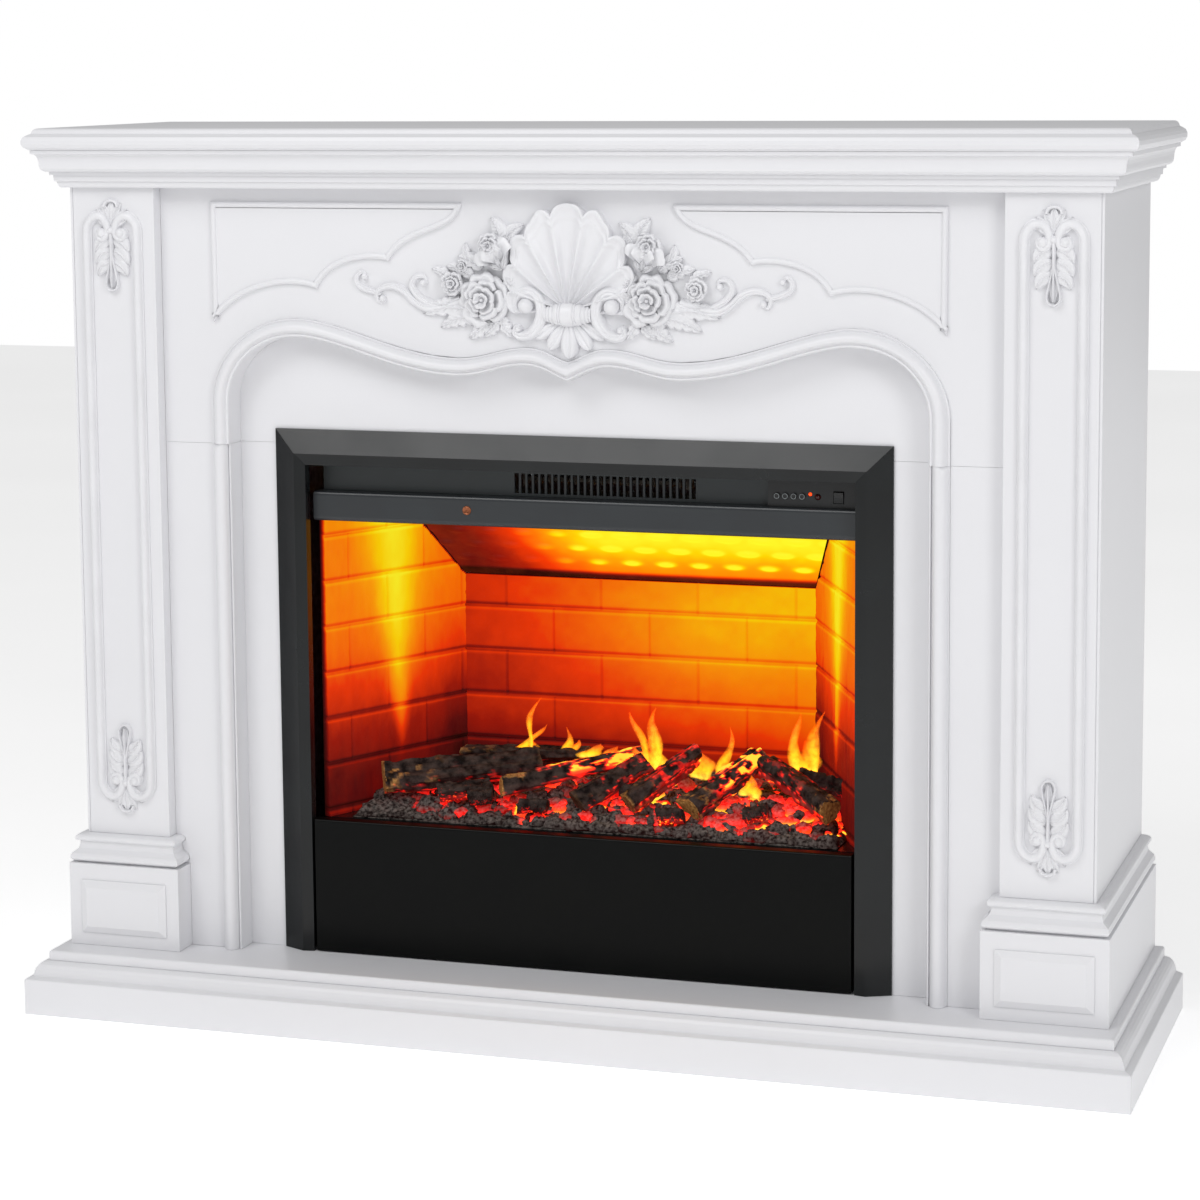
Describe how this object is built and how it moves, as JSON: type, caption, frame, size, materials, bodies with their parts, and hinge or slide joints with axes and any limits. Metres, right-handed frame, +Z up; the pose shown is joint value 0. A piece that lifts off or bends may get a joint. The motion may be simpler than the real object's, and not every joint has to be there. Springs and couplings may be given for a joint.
{
  "type": "electric fireplace",
  "caption": "Free-standing electric fireplace: white carved mantel surround round a black vapour-flame insert with heater slot, logs and a front drawer.",
  "frame": {"origin": "on the floor, at the middle of the bounding box's bottom", "axes": "+X to the viewer's right along the mantel, +Y back towards the wall, +Z up"},
  "size_m": [1.48, 0.46, 1.18],
  "materials": {
    "white_enamel": "white satin enamel on MDF",
    "cast_ornament": "cast resin, white satin enamel",
    "black_steel": "satin black powder coat",
    "zinc_steel": "zinc-plated sheet",
    "brick_liner": "moulded brick-effect panel",
    "black_plastic": "fine moulded texture",
    "button_metal": "bright plated",
    "amber_lens": "lit amber lens",
    "red_window": "dark red gloss",
    "circuit_board": "green solder mask",
    "heater_brass": "finned heater",
    "gloss_black": "gloss black",
    "clear_tank": "clear moulded tank",
    "ember_ash": "ash and embers, matt",
    "charred_log": "charred bark, matt"
  },
  "bodies": {
    "surround": {"plinth_front": "white_enamel", "plinth_left": "white_enamel", "plinth_right": "white_enamel", "hearth_slab": "white_enamel", "pedestal_left": "white_enamel", "pedestal_right": "white_enamel", "pedestal_cap_left": "white_enamel", "pedestal_cap_right": "white_enamel", "pillar_left": "white_enamel", "pillar_right": "white_enamel", "frieze_board": "white_enamel", "stile_left": "white_enamel", "stile_right": "white_enamel", "frieze_panel_left": "white_enamel", "frieze_panel_right": "white_enamel", "arch_moulding": "white_enamel", "column_left": "white_enamel", "column_right": "white_enamel", "inner_panel_top": "white_enamel", "inner_panel_left": "white_enamel", "inner_panel_right": "white_enamel", "cornice_front": "white_enamel", "cornice_left": "white_enamel", "cornice_right": "white_enamel", "shelf_top": "white_enamel", "pillar_ornament_left": "cast_ornament", "pillar_ornament_right": "cast_ornament", "carved_crest": "cast_ornament", "trim_top": "black_steel", "trim_left": "black_steel", "trim_right": "black_steel", "header_bar": "black_steel", "firebox_floor": "black_steel", "outlet_grille": "black_steel", "firebox_casing": "zinc_steel", "ceiling_reflector": "zinc_steel", "blower_housing": "zinc_steel", "blower_motor": "zinc_steel", "brick_left": "brick_liner", "brick_right": "brick_liner", "brick_back": "brick_liner", "control_fascia": "black_plastic", "cable_gland": "black_plastic", "status_lens": "amber_lens", "receiver_window": "red_window", "control_board": "circuit_board", "heating_element": "heater_brass"},
    "drawer": {"service_drawer": "gloss_black", "water_tank": "clear_tank", "vapour_unit": "black_plastic"},
    "mist_fan": {"vapour_fan": "black_plastic"},
    "fuel_bed": {"log_bed": "ember_ash", "log_left": "charred_log", "log_right": "charred_log"},
    "button_flame": {"flame_button": "button_metal"},
    "button_heat": {"heat_button": "button_metal"},
    "button_timer": {"timer_button": "button_metal"},
    "button_light": {"light_button": "button_metal"},
    "rocker": {"power_rocker": "black_plastic"},
    "fan_wheel": {"blower_wheel": "zinc_steel"}
  },
  "joints": [
    {"name": "drawer_slide", "type": "slide", "parent": "surround", "child": "drawer", "axis": [0, -1, 0], "range_m": [0, 0.2]},
    {"name": "mist_fan_spin", "type": "hinge", "parent": "drawer", "child": "mist_fan", "pos_m": [0.236, 0.06, 0.14], "axis": [0, 0, 1], "continuous": true},
    {"name": "fuel_bed_lift", "type": "slide", "parent": "surround", "child": "fuel_bed", "axis": [0, 0, 1], "range_m": [0, 0.09]},
    {"name": "rocker_tilt", "type": "hinge", "parent": "surround", "child": "rocker", "pos_m": [0.342, -0.0775, 0.716], "axis": [-1, 0, 0], "range_deg": [0, 12]},
    {"name": "fan_wheel_spin", "type": "hinge", "parent": "surround", "child": "fan_wheel", "pos_m": [0, 0.086, 0.722], "axis": [1, 0, 0], "continuous": true},
    {"name": "flame_press", "type": "slide", "parent": "surround", "child": "button_flame", "axis": [0, 1, 0], "range_m": [0, 0.001], "stiffness_N_per_m": 900},
    {"name": "heat_press", "type": "slide", "parent": "surround", "child": "button_heat", "axis": [0, 1, 0], "range_m": [0, 0.001], "stiffness_N_per_m": 900},
    {"name": "timer_press", "type": "slide", "parent": "surround", "child": "button_timer", "axis": [0, 1, 0], "range_m": [0, 0.001], "stiffness_N_per_m": 900},
    {"name": "light_press", "type": "slide", "parent": "surround", "child": "button_light", "axis": [0, 1, 0], "range_m": [0, 0.001], "stiffness_N_per_m": 900}
  ]
}
